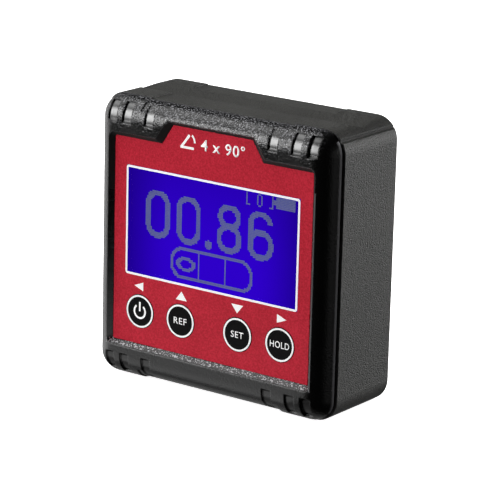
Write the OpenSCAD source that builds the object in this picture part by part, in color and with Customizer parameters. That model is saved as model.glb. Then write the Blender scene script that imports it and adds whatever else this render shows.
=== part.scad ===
// Digital angle gauge: a square pocket instrument with a lit display, four keys and a magnetic base.
// It stands on its base at z = 0, faces the front at -Y, and x = 0 and y = 0 are at its middle.
// Inside the modules y is measured from the front plane, and in_frame() moves it to the middle.

/* [Body] */
// Width over the side faces
body_w = 60; // [54:0.5:70]
// Height from the base to the top pads
body_h = 60; // [54:0.5:70]
// Depth from the front plane to the back face
body_d = 23.5; // [21.5:0.5:32]
// Radius of the body's corners, seen from the front
corner_r = 4.9; // [4.9:0.1:6]
// Radius of the edge round the back face
rear_r = 1; // [0.5:0.1:1.5]
// Thickness of the side and back walls
wall = 2; // [1.8:0.1:2.4]
// Thickness of the top wall and of the base
base_wall = 3.2; // [3:0.1:3.6]
// Height of the raised pads on the top and the base
pad_rise = 0.33; // [0.2:0.01:0.5]
// Width of each raised pad, from the side face
pad_w = 12; // [10:0.5:13]
// Width of the line between each side face and its corner
corner_line_w = 1.06; // [0.6:0.02:1.2]
// Angle of that line round the corner, from the side face
corner_line_angle = 36; // [30:1:42]

/* [Top groove] */
// Front edge of the shallow vee across the top, from the front plane
groove_front = 10.5; // [9:0.5:12]
// Deepest line of the vee, from the front plane
groove_floor = 13.6; // [12.5:0.1:15]
// Rear edge of the vee, from the front plane
groove_rear = 20; // [18:0.5:21]
// Depth of the vee
groove_depth = 1.05; // [0.5:0.05:1.2]

/* [Bezel] */
// Depth of the bezel from the front plane to the seam
bezel_d = 4.2; // [4:0.1:4.8]
// Radius of its front edge and of its corners
edge_r = 4.9; // [4.9:0.1:5.6]
// Step from the side faces in to the bezel
side_step = 0.5; // [0.3:0.05:0.8]
// Width of the shadow gap at the seam
seam_gap = 0.3; // [0.2:0.05:0.5]
// Thickness of the plate behind the label
plate_t = 1.5; // [1.3:0.1:1.7]
// Thickness of the lip that enters the rear housing
lip_t = 1.2; // [1:0.1:1.4]
// Length of that lip
lip_d = 1.6; // [1.2:0.1:1.8]
// Clearance round the lip
lip_clear = 0.15; // [0.1:0.05:0.2]

/* [Grip notches] */
// Distances of the three notches from the side face
notch_places = [14.45, 8.75, 4.95]; // [4:0.05:16]
// Depths of the three notches
notch_depths = [0.42, 0.42, 0.62]; // [0.3:0.02:1]
// Width of a notch
notch_w = 2.3; // [1.6:0.1:2.6]
// Length over which a notch runs out into the front face
notch_run = 0.6; // [0.4:0.1:1.4]
// Angle round the front edge that a notch covers
notch_sweep = 52; // [35:1:60]

/* [Label] */
// Distance from the side faces in to the label
label_side = 5; // [4.8:0.1:6]
// Height of the label's lower edge over the base
label_bottom = 7.9; // [7.6:0.1:8.4]
// Distance from the top down to the label's shoulders
label_shoulder = 8.37; // [8:0.1:9]
// Radius of the label's corners
label_corner = 0.4; // [0.2:0.1:0.8]
// Distance from the top down to the label's tab
tab_drop = 4.1; // [3.8:0.1:6]
// Width of the tab at its top
tab_top_w = 20; // [16:0.5:22]
// Width of the tab at its foot
tab_foot_w = 25.6; // [23:0.1:28]
// Depth of the label's face behind the front plane
label_recess = 1.2; // [1:0.02:1.4]
// Thickness of the label
label_t = 0.5; // [0.3:0.05:0.6]
// Slope of the recess walls, measured across
recess_flare = 1.05; // [0.4:0.05:1.2]
// Clearance round the label
label_clear = 0.05; // [0.03:0.01:0.1]

/* [Display] */
// Width of the label beside the window
window_side = 3.1; // [2.7:0.1:4]
// Height of the label over the window
window_top = 5.83; // [5.3:0.01:7]
// Height of the label under the window
window_foot = 14.7; // [13.5:0.1:17]
// Thickness of the clear window
window_t = 0.8; // [0.7:0.05:1]
// Gap between the window and the display glass
window_gap = 0.06; // [0.04:0.01:0.1]
// Edge of the display glass that the label covers
glass_margin = 0.75; // [0.5:0.05:1]
// Thickness of the display's front glass
front_glass_t = 1.2; // [1.2:0.05:1.4]
// Thickness of the display's rear glass
rear_glass_t = 1.1; // [0.9:0.05:1.2]
// Distance from the ends of the display glass in to its contact edge
contact_in = 4.65; // [4.2:0.05:8]
// Thickness of the backlight
backlight_t = 1.6; // [1.4:0.1:1.8]
// Wall of the display holder
holder_wall = 1.2; // [1:0.1:1.3]
// Clearance round the display in its holder and in the plate
display_clear = 0.2; // [0.1:0.05:0.25]
// Clearance between the display holder and the posts
holder_clear = 0.15; // [0.1:0.05:0.3]
// Clearance over and under the contact strip
strip_clear = 0.4; // [0.3:0.05:0.5]

/* [Keys] */
// Radius of a key
key_r = 3.57; // [3.2:0.01:3.8]
// Distance of the inner keys from the middle
key_inner_x = 7.3; // [6.6:0.1:8]
// Distance of the outer keys from the middle
key_outer_x = 17.9; // [17:0.1:18.4]
// Distance from the window down to the keys
key_drop = 7.6; // [7.2:0.1:8.4]
// Travel of a key
key_travel = 0.4; // [0.2:0.05:0.4]
// Clearance round a key and behind the plate
key_clear = 0.1; // [0.08:0.01:0.15]
// Height of a key over the label
key_proud = 0.08; // [0:0.01:0.2]
// Width of the flange that keeps a key in
key_flange = 0.7; // [0.5:0.05:0.9]
// Thickness of that flange
key_flange_t = 0.55; // [0.4:0.05:0.6]

/* [Circuit board] */
// Clearance round the board
board_clear = 0.5; // [0.3:0.05:1]
// Thickness of the board
board_t = 1.2; // [1:0.1:1.4]
// Gap between the backlight and the board
board_gap = 0.2; // [0.1:0.05:0.3]
// Side of a key switch
switch_w = 4.5; // [4:0.1:5]
// Radius of a switch's plunger
plunger_r = 1.2; // [0.9:0.1:1.5]
// Height of a switch's case
switch_case_t = 1.4; // [1.2:0.1:1.5]
// Side of the controller chip
chip_w = 9; // [7:0.5:10]
// Side of the tilt sensor
sensor_w = 4; // [3:0.5:5]
// Height of the chip and the sensor
chip_t = 1.1; // [0.8:0.1:1.2]
// Radius of the posts that carry the board
post_r = 1.4; // [1.2:0.1:1.5]
// Radius of the pins on those posts
post_pin_r = 0.7; // [0.5:0.05:0.8]
// Distance from the lip in to the posts
post_in = 3.55; // [3.2:0.05:3.8]
// Clearance of the board round the pins
pin_clear = 0.12; // [0.05:0.01:0.2]

/* [Batteries] */
// Diameter of a cell
cell_d = 10.5; // [10.2:0.1:10.5]
// Length of a cell over its nub
cell_l = 44.5; // [42:0.1:44.5]
// Radius of a cell's nub
nub_r = 1.9; // [1.5:0.1:2.2]
// Length of the nub
nub_l = 0.9; // [0.6:0.1:1.2]
// Clearance round a cell
cell_clear = 0.25; // [0.15:0.05:0.3]
// Wall of the battery bay
bay_wall = 2; // [1.8:0.1:2.2]
// Floor of the battery bay
bay_floor = 1; // [0.9:0.1:1.4]
// Space for the contacts at each end of the cells
contact_room = 2.3; // [2:0.1:2.5]
// Thickness of the contact plates
contact_t = 0.4; // [0.3:0.05:0.5]
// Turns of a contact coil
coil_turns = 3; // [2:1:4]
// Radius of a contact coil
coil_r = 2.6; // [2.4:0.1:3.4]
// Radius of a contact button at its foot
button_r = 3.8; // [3:0.1:4.4]

/* [Battery door] */
// Thickness of the door
door_t = 1.6; // [1.4:0.1:1.7]
// Clearance round the door
door_clear = 0.2; // [0.15:0.05:0.3]
// Width of the ledge that the door lies on
door_ledge = 1; // [0.8:0.1:1.2]
// Radius of the hinge pins
hinge_pin_r = 0.45; // [0.35:0.05:0.5]
// Length of the hinge pins
hinge_pin_l = 1; // [0.8:0.1:1.2]
// Radial clearance of the hinge pins
hinge_clear = 0.05; // [0.03:0.01:0.08]
// Radius of the finger notch under the door
finger_r = 6; // [4:0.5:7]
// Depth of the finger notch
finger_depth = 1; // [0.6:0.1:1.2]
// Count of the grip ribs on the door
rib_count = 5; // [3:1:7]
// Spacing of the grip ribs
rib_pitch = 1.4; // [1.2:0.1:1.8]
// Length of the grip ribs
rib_l = 16; // [10:1:20]
// Depth of the grooves between the ribs
rib_depth = 0.3; // [0.2:0.05:0.4]

/* [Fasteners and magnets] */
// Distance from the lip in to the screws
screw_in = 2.9; // [2.8:0.05:3.2]
// Radius of the screw shanks
screw_r = 1; // [0.8:0.05:1.1]
// Radius of the screw heads
screw_head_r = 2; // [1.7:0.1:2.1]
// Height of the screw heads
screw_head_t = 1.5; // [1.2:0.1:1.8]
// Distance from the front plane to the seats of the screw heads
screw_seat = 13; // [12:0.5:15]
// Clearance round the screws
screw_clear = 0.25; // [0.2:0.05:0.3]
// Wall round the wells of the screw heads
column_wall = 0.75; // [0.6:0.05:0.9]
// Radius of the bosses on the bezel
boss_r = 2.7; // [2.4:0.1:2.8]
// Radius of the magnets in the base
magnet_r = 3; // [2.5:0.1:3.4]
// Height of the magnets
magnet_t = 2; // [1.5:0.1:2.2]
// Distance from the side faces in to the magnets
magnet_side = 8; // [7.4:0.1:8.6]
// Depth of the magnets' faces over the base plane
magnet_sink = 0.15; // [0.05:0.05:0.3]

/* [Hidden] */
$fn = 64;
over = 1;
mid_z = body_h / 2;
pad_in = body_w / 2 - pad_w;
bezel_w = body_w - 2 * side_step;
rear_y = bezel_d + seam_gap;
cavity_w = bezel_w - 2 * wall;
cavity_h = body_h - 2 * base_wall;
cavity_r = corner_r - wall;
lip_w = cavity_w - 2 * lip_clear;
lip_h = cavity_h - 2 * lip_clear;
lip_r = cavity_r - lip_clear;
inside_w = lip_w - 2 * lip_t;
inside_h = lip_h - 2 * lip_t;
label_w = body_w - 2 * label_side;
label_h = body_h - label_bottom - label_shoulder;
window_w = label_w - 2 * window_side;
window_h = label_h - window_top - window_foot;
window_z = label_bottom + window_foot + window_h / 2;
key_z = label_bottom + window_foot - key_drop;
key_places = [-key_outer_x, -key_inner_x, key_inner_x, key_outer_x];
post_x = (key_inner_x + key_outer_x) / 2;
post_z = inside_h / 2 - post_in;
screw_x = inside_w / 2 - screw_in;
screw_z = inside_h / 2 - screw_in;
board_w = inside_w - 2 * board_clear;
board_h = inside_h - 2 * board_clear;
magnet_x = body_w / 2 - magnet_side;
plate_y = label_recess + label_t;
plate_back = plate_y + plate_t;
glass_y = label_recess + window_t + window_gap;
rear_glass_y = glass_y + front_glass_t;
backlight_y = rear_glass_y + rear_glass_t;
board_y = backlight_y + backlight_t + board_gap;
board_back = board_y + board_t;
glass_w = window_w + 2 * glass_margin;
glass_h = window_h + 2 * glass_margin;
glass_top = window_z + glass_h / 2;
contact_edge_w = glass_w - 2 * contact_in;
contact_edge = mid_z + post_z - post_r - holder_clear - holder_wall - display_clear - glass_top;
strip_w = contact_edge - 2 * strip_clear;
key_back = plate_back + key_clear + key_flange_t;
plunger_tip = key_back + key_travel + key_clear;
cell_pitch = cell_d + cell_clear;
cell_y = body_d - door_t - cell_clear - cell_d / 2;
bay_w = cell_l + 2 * contact_room;
bay_h = cell_pitch + cell_d + 2 * cell_clear;
bay_y = cell_y - cell_d / 2 - cell_clear;
door_w = bay_w + 2 * door_ledge;
door_h = bay_h + 2 * door_ledge;
door_y = body_d - door_t;
hinge_y = body_d - door_t / 2;
hinge_z = mid_z + door_h / 2 - door_t / 2;
boss_end = board_y - board_gap;
well_r = screw_head_r + screw_clear;
column_r = well_r + column_wall;
magnet_y = (rear_y + body_d) / 2;
// Shares of a coil's wire radius: its sink into the plate, its rise and its narrowing in a turn
coil_sink_share = 0.2;
coil_rise_share = 1.7;
coil_taper_share = 0.5;

// Moves the drawing from the front plane to the middle of the depth
module in_frame() {
    translate([0, -body_d / 2, 0])
        children();
}

// Extrudes a drawing in x and z from one depth to another
module slab(y0, y1) {
    translate([0, y1, 0])
        rotate([90, 0, 0])
            linear_extrude(y1 - y0)
                children();
}

// A round bar along the depth
module bar(x, z, y0, y1, r) {
    translate([x, y0, z])
        rotate([-90, 0, 0])
            cylinder(h = y1 - y0, r = r);
}

// A block centred on x and z, from one depth to another
module block(x, z, w, h, y0, y1) {
    translate([x - w / 2, y0, z - h / 2])
        cube([w, y1 - y0, h]);
}

module both_sides() {
    children();
    mirror([1, 0, 0])
        children();
}

// The same at the top and, mirrored, at the base
module top_and_base() {
    children();
    translate([0, 0, body_h])
        mirror([0, 0, 1])
            children();
}

module rounded_rect(w, h, r) {
    square([w - 2 * r, h], center = true);
    square([w, h - 2 * r], center = true);
    for (x = [-1, 1], y = [-1, 1])
        translate([x * (w / 2 - r), y * (h / 2 - r)])
            circle(r);
}

// A rounded square form whose edge section, drawn from the corner's axis outwards, runs round it
module edge_form(w, h, r, d) {
    cx = w / 2 - r;
    cz = h / 2 - r;
    translate([0, 0, mid_z]) {
        translate([-cx, 0, -cz])
            cube([2 * cx, d, 2 * cz]);
        for (side = [0, 1])
            mirror([side, 0, 0])
                translate([cx, 0, -cz])
                    linear_extrude(2 * cz)
                        children();
        for (side = [0, 1])
            mirror([0, 0, side])
                translate([cx, 0, cz])
                    rotate([0, -90, 0])
                        linear_extrude(2 * cx)
                            children();
        for (x = [0, 1], z = [0, 1])
            mirror([x, 0, 0])
                mirror([0, 0, z])
                    translate([cx, 0, cz])
                        rotate([-90, 0, 0])
                            rotate([0, 0, -90])
                                rotate_extrude(angle = 90)
                                    children();
    }
}

// Section of the bezel's edge: a round nose cut off at the seam
module bezel_section() {
    intersection() {
        translate([0, edge_r])
            circle(edge_r);
        square([edge_r, bezel_d]);
    }
}

// Section of the rear housing's edge: straight, with a small round at the back
module housing_section() {
    length = body_d - rear_y;
    square([corner_r - rear_r, length]);
    square([corner_r, length - rear_r]);
    translate([corner_r - rear_r, length - rear_r])
        circle(rear_r);
}

// Outline of the label without its tab, grown on every side
module label_field(grow) {
    translate([0, label_bottom + label_h / 2])
        rounded_rect(label_w + 2 * grow, label_h + 2 * grow, label_corner + grow);
}

// Outline of the label's tab, grown on every side
module label_tab(grow) {
    foot = body_h - label_shoulder - 2 * recess_flare;
    shoulder = body_h - label_shoulder + grow;
    top = body_h - tab_drop + grow;
    foot_x = tab_foot_w / 2 + grow;
    top_x = tab_top_w / 2 + grow;
    polygon([
        [-foot_x, foot], [foot_x, foot], [foot_x, shoulder],
        [top_x, top], [-top_x, top], [-foot_x, shoulder]
    ]);
}

// The recess for the label: walls that lean outwards down to its face, then a straight seat
module label_recess_cut() {
    hull() {
        slab(-over, 0)
            label_field(recess_flare);
        slab(0, label_recess)
            label_field(0);
    }
    hull() {
        slab(-over, 0)
            label_tab(recess_flare);
        slab(0, label_recess)
            label_tab(0);
    }
    slab(0, plate_y) {
        label_field(0);
        label_tab(0);
    }
}

// One grip notch, an even cut round the front edge at the top that runs out into the front face
module grip_notch(x, depth) {
    translate([x, edge_r, body_h - edge_r]) {
        rotate([0, 90, 0])
            rotate([0, 0, 270 - notch_sweep])
                rotate_extrude(angle = notch_sweep)
                    translate([edge_r - depth, -notch_w / 2])
                        square([depth + over, notch_w]);
        translate([notch_w / 2, 0, 0])
            rotate([0, -90, 0])
                linear_extrude(notch_w)
                    polygon([
                        [over, -edge_r - over], [over, depth - edge_r], [0, depth - edge_r],
                        [-notch_run, -edge_r], [-notch_run, -edge_r - over]
                    ]);
    }
}

// What is taken off between the raised pads at the top of the bezel
module pad_saddle() {
    translate([pad_in, 0, body_h - edge_r])
        rotate([0, -90, 0])
            linear_extrude(2 * pad_in)
                difference() {
                    translate([edge_r / 2, -over])
                        square([edge_r / 2 + over, bezel_d + 2 * over]);
                    translate([-pad_rise, edge_r])
                        circle(edge_r);
                }
}

// The display's place seen from the front, with the contact edge at its top
module display_outline(grow) {
    translate([-glass_w / 2 - grow, window_z - glass_h / 2 - grow])
        square([glass_w + 2 * grow, glass_h + 2 * grow]);
    translate([-contact_edge_w / 2 - grow, glass_top - over])
        square([contact_edge_w + 2 * grow, contact_edge + grow + over]);
}

module at_screws() {
    for (x = [-screw_x, screw_x], z = [mid_z - screw_z, mid_z + screw_z])
        translate([x, 0, z])
            children();
}

module at_posts() {
    for (x = [-post_x, post_x], z = [mid_z - post_z, mid_z + post_z])
        translate([x, 0, z])
            children();
}

module front_bezel() {
    color("#1c1c1d")
        in_frame() {
            difference() {
                union() {
                    edge_form(bezel_w, body_h, edge_r, bezel_d)
                        bezel_section();
                    translate([0, 0, mid_z])
                        slab(bezel_d / 2, bezel_d + lip_d)
                            rounded_rect(lip_w, lip_h, lip_r);
                }
                translate([0, 0, mid_z])
                    slab(plate_back, bezel_d + lip_d + over)
                        rounded_rect(inside_w, inside_h, lip_r - lip_t);
                label_recess_cut();
                block(0, window_z, glass_w + 2 * display_clear, glass_h + 2 * display_clear,
                    0, plate_back + over);
                for (x = key_places)
                    bar(x, key_z, 0, plate_back + over, key_r + key_clear);
                top_and_base()
                    pad_saddle();
                top_and_base()
                    both_sides()
                        for (k = [0:len(notch_places) - 1])
                            grip_notch(body_w / 2 - notch_places[k], notch_depths[k]);
            }
            at_screws()
                difference() {
                    bar(0, 0, plate_back, boss_end, boss_r);
                    bar(0, 0, plate_back + plate_t / 2, boss_end + over, screw_r);
                }
            at_posts() {
                bar(0, 0, plate_back, board_y, post_r);
                bar(0, 0, board_y, board_back + post_pin_r, post_pin_r);
            }
        }
}

module front_label() {
    color("#bd2338")
        in_frame()
            difference() {
                slab(label_recess, plate_y) {
                    label_field(-label_clear);
                    label_tab(-label_clear);
                }
                block(0, window_z, window_w + 2 * label_clear, window_h + 2 * label_clear, 0, plate_y + over);
                for (x = key_places)
                    bar(x, key_z, 0, plate_y + over, key_r + key_clear);
            }
}

module display_window() {
    color("#d8dce4", 0.4)
        in_frame()
            block(0, window_z, window_w, window_h, label_recess, label_recess + window_t);
}

// A round key with a flange behind the plate
module round_key(place) {
    x = key_places[place];
    color("#121213")
        in_frame() {
            bar(x, key_z, label_recess - key_proud, key_back, key_r);
            bar(x, key_z, plate_back + key_clear, key_back, key_r + key_flange);
        }
}

module display_glass() {
    color("#2a14b8")
        in_frame() {
            block(0, window_z, glass_w, glass_h, glass_y, backlight_y);
            slab(rear_glass_y, backlight_y)
                display_outline(0);
        }
}

module backlight() {
    color("#e6e9ef")
        in_frame()
            block(0, window_z, glass_w, glass_h, backlight_y, backlight_y + backlight_t);
}

module display_holder() {
    color("#d9d9d4")
        in_frame()
            difference() {
                slab(plate_back + key_clear, board_y)
                    display_outline(display_clear + holder_wall);
                slab(plate_back, board_y + over)
                    display_outline(display_clear);
            }
}

module contact_strip() {
    color("#4d4f55")
        in_frame()
            block(0, glass_top + contact_edge / 2, contact_edge_w, strip_w, backlight_y, board_y);
}

module circuit_board() {
    notch_x = board_w / 2 - screw_x + column_r + screw_clear;
    notch_z = board_h / 2 - screw_z + column_r + screw_clear;
    color("#1d6b3a")
        in_frame()
            difference() {
                block(0, mid_z, board_w, board_h, board_y, board_back);
                for (x = [-1, 1], z = [-1, 1])
                    block(x * board_w / 2, mid_z + z * board_h / 2, 2 * notch_x, 2 * notch_z,
                          board_y - over, board_back + over);
                at_posts()
                    bar(0, 0, board_y - over, board_back + over, post_pin_r + pin_clear);
            }
}

// A key switch: a square case on the board with a round plunger towards its key
module key_switch(place) {
    x = key_places[place];
    color("#8f9297")
        in_frame() {
            block(x, key_z, switch_w, switch_w, board_y - switch_case_t, board_y);
            bar(x, key_z, plunger_tip, board_y, plunger_r);
        }
}

module controller_chip() {
    color("#202124")
        in_frame()
            block(post_x / 2, mid_z + post_z - chip_w / 2, chip_w, chip_w, board_back, board_back + chip_t);
}

module tilt_sensor() {
    color("#34363a")
        in_frame()
            block(0, mid_z - post_z + sensor_w / 2, sensor_w, sensor_w, board_back, board_back + chip_t);
}

// The shallow vee across the top face
module top_groove() {
    translate([body_w / 2 + over, 0, 0])
        rotate([0, -90, 0])
            linear_extrude(body_w + 2 * over)
                polygon([[body_h, groove_front], [body_h - groove_depth, groove_floor], [body_h, groove_rear],
                         [body_h + over, groove_rear], [body_h + over, groove_front]]);
}

// The fine line where a side face ends at its corner
module corner_line() {
    side = corner_line_w / sqrt(2);
    translate([body_w / 2 - corner_r, 0, body_h - corner_r])
        slab(rear_y - over, body_d + over)
            rotate(corner_line_angle)
                translate([corner_r, 0])
                    rotate(45)
                        square(side, center = true);
}

// A screw column: a well for the head at the back and a clear hole for the shank
module screw_column_cut() {
    bar(0, 0, boss_end, screw_seat + over, screw_r + screw_clear);
    bar(0, 0, screw_seat, body_d + over, well_r);
}

module hinge_pins(r, l) {
    both_sides()
        translate([door_w / 2 - over, hinge_y, hinge_z])
            rotate([0, 90, 0])
                cylinder(h = l + over, r = r);
}

module rear_housing() {
    bay_outer_w = bay_w + 2 * bay_wall;
    bay_outer_h = bay_h + 2 * bay_wall;
    color("#484846")
        in_frame()
            difference() {
                union() {
                    difference() {
                        translate([0, rear_y, 0])
                            edge_form(body_w, body_h, corner_r, body_d - rear_y)
                                housing_section();
                        translate([0, 0, mid_z])
                            slab(rear_y - over, body_d - wall)
                                rounded_rect(cavity_w, cavity_h, cavity_r);
                    }
                    block(0, mid_z, bay_outer_w, bay_outer_h, bay_y - bay_floor, body_d - wall / 2);
                    at_screws()
                        bar(0, 0, boss_end, body_d - wall / 2, column_r);
                }
                block(0, mid_z, bay_w, bay_h, bay_y, body_d + over);
                block(0, mid_z, door_w + 2 * door_clear, door_h + 2 * door_clear,
                    door_y - door_clear, body_d + over);
                hinge_pins(hinge_pin_r + hinge_clear, hinge_pin_l + door_clear);
                translate([0, body_d - finger_depth, mid_z - door_h / 2])
                    bar(0, 0, 0, finger_depth + over, finger_r);
                at_screws()
                    screw_column_cut();
                top_and_base()
                    block(0, body_h, 2 * pad_in, 2 * pad_rise, rear_y - over, body_d + over);
                both_sides()
                    corner_line();
                top_groove();
                both_sides()
                    translate([magnet_x, magnet_y, -over])
                        cylinder(h = magnet_sink + magnet_t + over, r = magnet_r);
            }
}

// A flat door with a round upper edge, hinge pins and grip ribs at its lower edge
module battery_door() {
    ribs_z = mid_z - door_h / 2 + rib_pitch;
    color("#484846")
        in_frame()
            difference() {
                union() {
                    block(0, mid_z - door_t / 4, door_w, door_h - door_t / 2, door_y, body_d);
                    translate([-door_w / 2, hinge_y, hinge_z])
                        rotate([0, 90, 0])
                            cylinder(h = door_w, r = door_t / 2);
                    hinge_pins(hinge_pin_r, hinge_pin_l);
                }
                block(0, mid_z + door_h / 2, door_w + 2 * over, door_t, door_y - over, door_y);
                for (k = [0:rib_count - 1])
                    block(0, ribs_z + k * rib_pitch, rib_l, rib_pitch / 2, body_d - rib_depth, body_d + over);
            }
}

// A cell that lies along x, with its nub towards one end
module cell(z, towards) {
    color("#3f6f8f")
        in_frame()
            translate([-towards * cell_l / 2, cell_y, z])
                rotate([0, towards * 90, 0]) {
                    cylinder(h = cell_l - nub_l, r = cell_d / 2);
                    cylinder(h = cell_l, r = nub_r);
                }
}

module upper_cell() {
    cell(mid_z + cell_pitch / 2, 1);
}

module lower_cell() {
    cell(mid_z - cell_pitch / 2, -1);
}

// A coiled contact that narrows towards its cell, with its turns closed up
module contact_coil(room) {
    wire_r = room / (2 - coil_sink_share + coil_rise_share * (coil_turns - 1));
    for (turn = [0:coil_turns - 1])
        translate([0, 0, wire_r * (1 - coil_sink_share + coil_rise_share * turn)])
            rotate_extrude()
                translate([coil_r - turn * wire_r * coil_taper_share, 0])
                    circle(wire_r);
}

// A contact plate at one end of the bay, for the cells at the given heights
module contact_plate(end, low_z, high_z) {
    plate_h = high_z - low_z + cell_d - 2 * cell_clear;
    block(end * (bay_w / 2 - contact_t / 2), (low_z + high_z) / 2, contact_t, plate_h, bay_y, bay_y + cell_d);
}

// What stands on a contact plate: a coil against the flat end of a cell, or a button against its nub
module contact_spring(end, z) {
    translate([end * (bay_w / 2 - contact_t), cell_y, z])
        rotate([0, -end * 90, 0])
            contact_coil(contact_room - contact_t);
}

module contact_button(end, z) {
    translate([end * (bay_w / 2 - contact_t), cell_y, z])
        rotate([0, -end * 90, 0])
            cylinder(h = contact_room - contact_t, r1 = button_r, r2 = nub_r);
}

module bridge_contact() {
    low = mid_z - cell_pitch / 2;
    high = mid_z + cell_pitch / 2;
    color("#c9ccd1")
        in_frame() {
            contact_plate(-1, low, high);
            contact_spring(-1, high);
            contact_button(-1, low);
        }
}

module upper_contact() {
    z = mid_z + cell_pitch / 2;
    color("#c9ccd1")
        in_frame() {
            contact_plate(1, z, z);
            contact_button(1, z);
        }
}

module lower_contact() {
    z = mid_z - cell_pitch / 2;
    color("#c9ccd1")
        in_frame() {
            contact_plate(1, z, z);
            contact_spring(1, z);
        }
}

module base_magnet(x) {
    color("#b9bcc2")
        in_frame()
            translate([x, magnet_y, magnet_sink])
                cylinder(h = magnet_t, r = magnet_r);
}

module housing_screws() {
    color("#9a9da3")
        in_frame()
            at_screws() {
                bar(0, 0, plate_back + plate_t, screw_seat, screw_r);
                bar(0, 0, screw_seat, screw_seat + screw_head_t, screw_head_r);
            }
}

front_bezel();
front_label();
display_window();
round_key(0);  // power_key
round_key(1);  // reference_key
round_key(2);  // set_key
round_key(3);  // hold_key
display_glass();
backlight();
display_holder();
contact_strip();
circuit_board();
key_switch(0);  // power_switch
key_switch(1);  // reference_switch
key_switch(2);  // set_switch
key_switch(3);  // hold_switch
controller_chip();
tilt_sensor();
rear_housing();
battery_door();
upper_cell();
lower_cell();
bridge_contact();
upper_contact();
lower_contact();
base_magnet(-magnet_x);  // left_magnet
base_magnet(magnet_x);  // right_magnet
housing_screws();
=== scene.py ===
# %% [markdown]
# A digital angle gauge is a pocket instrument: a black moulded case, a red printed label, a lit blue
# display and four keys. The solids come from the packed model, which is loaded once and never moved or
# changed. This lesson adds what a solid model leaves out: finishes, prints, display dots, light and a
# camera.

# %% Load the packed model
from math import cos, hypot, pi, radians, sin

import bmesh
import bpy
from mathutils import Matrix, Vector


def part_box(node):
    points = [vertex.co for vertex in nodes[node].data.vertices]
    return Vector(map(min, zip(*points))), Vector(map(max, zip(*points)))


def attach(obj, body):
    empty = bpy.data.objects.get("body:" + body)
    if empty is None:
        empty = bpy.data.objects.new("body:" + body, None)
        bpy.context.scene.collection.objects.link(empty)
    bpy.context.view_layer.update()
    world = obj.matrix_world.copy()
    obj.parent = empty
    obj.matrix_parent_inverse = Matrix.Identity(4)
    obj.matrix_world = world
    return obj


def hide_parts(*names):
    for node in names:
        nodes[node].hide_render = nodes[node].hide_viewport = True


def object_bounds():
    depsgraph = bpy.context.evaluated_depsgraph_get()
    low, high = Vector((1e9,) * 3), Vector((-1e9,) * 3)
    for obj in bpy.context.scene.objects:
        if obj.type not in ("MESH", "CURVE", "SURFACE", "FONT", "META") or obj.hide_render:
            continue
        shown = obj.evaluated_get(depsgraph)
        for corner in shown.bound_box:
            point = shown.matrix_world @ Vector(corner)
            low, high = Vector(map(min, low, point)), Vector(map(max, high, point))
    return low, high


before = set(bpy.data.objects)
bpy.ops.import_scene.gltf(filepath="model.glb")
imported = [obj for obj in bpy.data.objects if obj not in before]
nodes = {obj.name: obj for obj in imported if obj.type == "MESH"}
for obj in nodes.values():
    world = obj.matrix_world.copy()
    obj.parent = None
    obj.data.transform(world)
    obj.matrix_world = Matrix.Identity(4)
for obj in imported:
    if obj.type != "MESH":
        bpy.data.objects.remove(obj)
cad_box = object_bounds()
MM = 0.001

# %% [markdown]
# Every print and dot has to lie on a real surface, so the places are read from the solids: the label, the
# window in it and the display glass behind. The front of the gauge looks along -Y, so a smaller y is nearer
# the viewer.

# %% Read the places from the solids
label_low, label_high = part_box("front_label")
window_low, window_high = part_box("display_window")
glass_low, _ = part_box("display_glass")
body_low, body_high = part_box("rear_housing")
bezel_low, bezel_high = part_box("front_bezel")
window_middle = (window_low + window_high) / 2
front_y = bezel_low.y
middle_z = (body_low.z + body_high.z) / 2
print("window", [round(side / MM, 1) for side in window_high - window_low], "mm")

# %% [markdown]
# The photograph was taken with a long lens from the right and a little above, so the sides hardly converge.
# A camera is a matrix of its right, up and backward directions and its place. Building that matrix from the
# two viewing angles and the small roll keeps all three readable, which an aimed constraint would hide.

# %% Set the camera
VIEW_AZIMUTH = radians(35.999)
VIEW_ELEVATION = radians(15.275)
VIEW_ROLL = radians(1.482)
CAMERA_PLACE = Vector((324.71, -443.82, 179.54)) * MM
SENSOR_WIDTH = 36
FOCAL_LENGTH = 199.47

backward = Vector((sin(VIEW_AZIMUTH) * cos(VIEW_ELEVATION), -cos(VIEW_AZIMUTH) * cos(VIEW_ELEVATION),
                   sin(VIEW_ELEVATION)))
level_right = Vector((cos(VIEW_AZIMUTH), sin(VIEW_AZIMUTH), 0))
level_up = backward.cross(level_right)
right = cos(VIEW_ROLL) * level_right + sin(VIEW_ROLL) * level_up
up = cos(VIEW_ROLL) * level_up - sin(VIEW_ROLL) * level_right

camera_data = bpy.data.cameras.new("studio_camera")
camera_data.sensor_width = SENSOR_WIDTH
camera_data.lens = FOCAL_LENGTH
camera = bpy.data.objects.new("studio_camera", camera_data)
camera.matrix_world = Matrix.Translation(CAMERA_PLACE) @ Matrix((right, up, backward)).transposed().to_4x4()
bpy.context.scene.collection.objects.link(camera)
bpy.context.scene.camera = camera
bpy.context.scene.view_settings.view_transform = "Standard"
print("camera at", [round(side, 3) for side in CAMERA_PLACE], "m")

# %% [markdown]
# A finish is a network of nodes. Writing it as arithmetic is easier to read than wiring it, so a small
# class wraps one socket: a sum or product of two of them adds the Math node that does it. Any other node
# comes from one method, which takes the node's type, its settings and the values or links of its sockets.
# Most values of a noise lie in a narrow range, so a soft step over that range spreads them from nought to
# one.

# %% Wrap a socket so that finishes read as arithmetic
NOISE_RANGE = 0.3, 0.7
BEVEL_SAMPLES = 6


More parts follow.
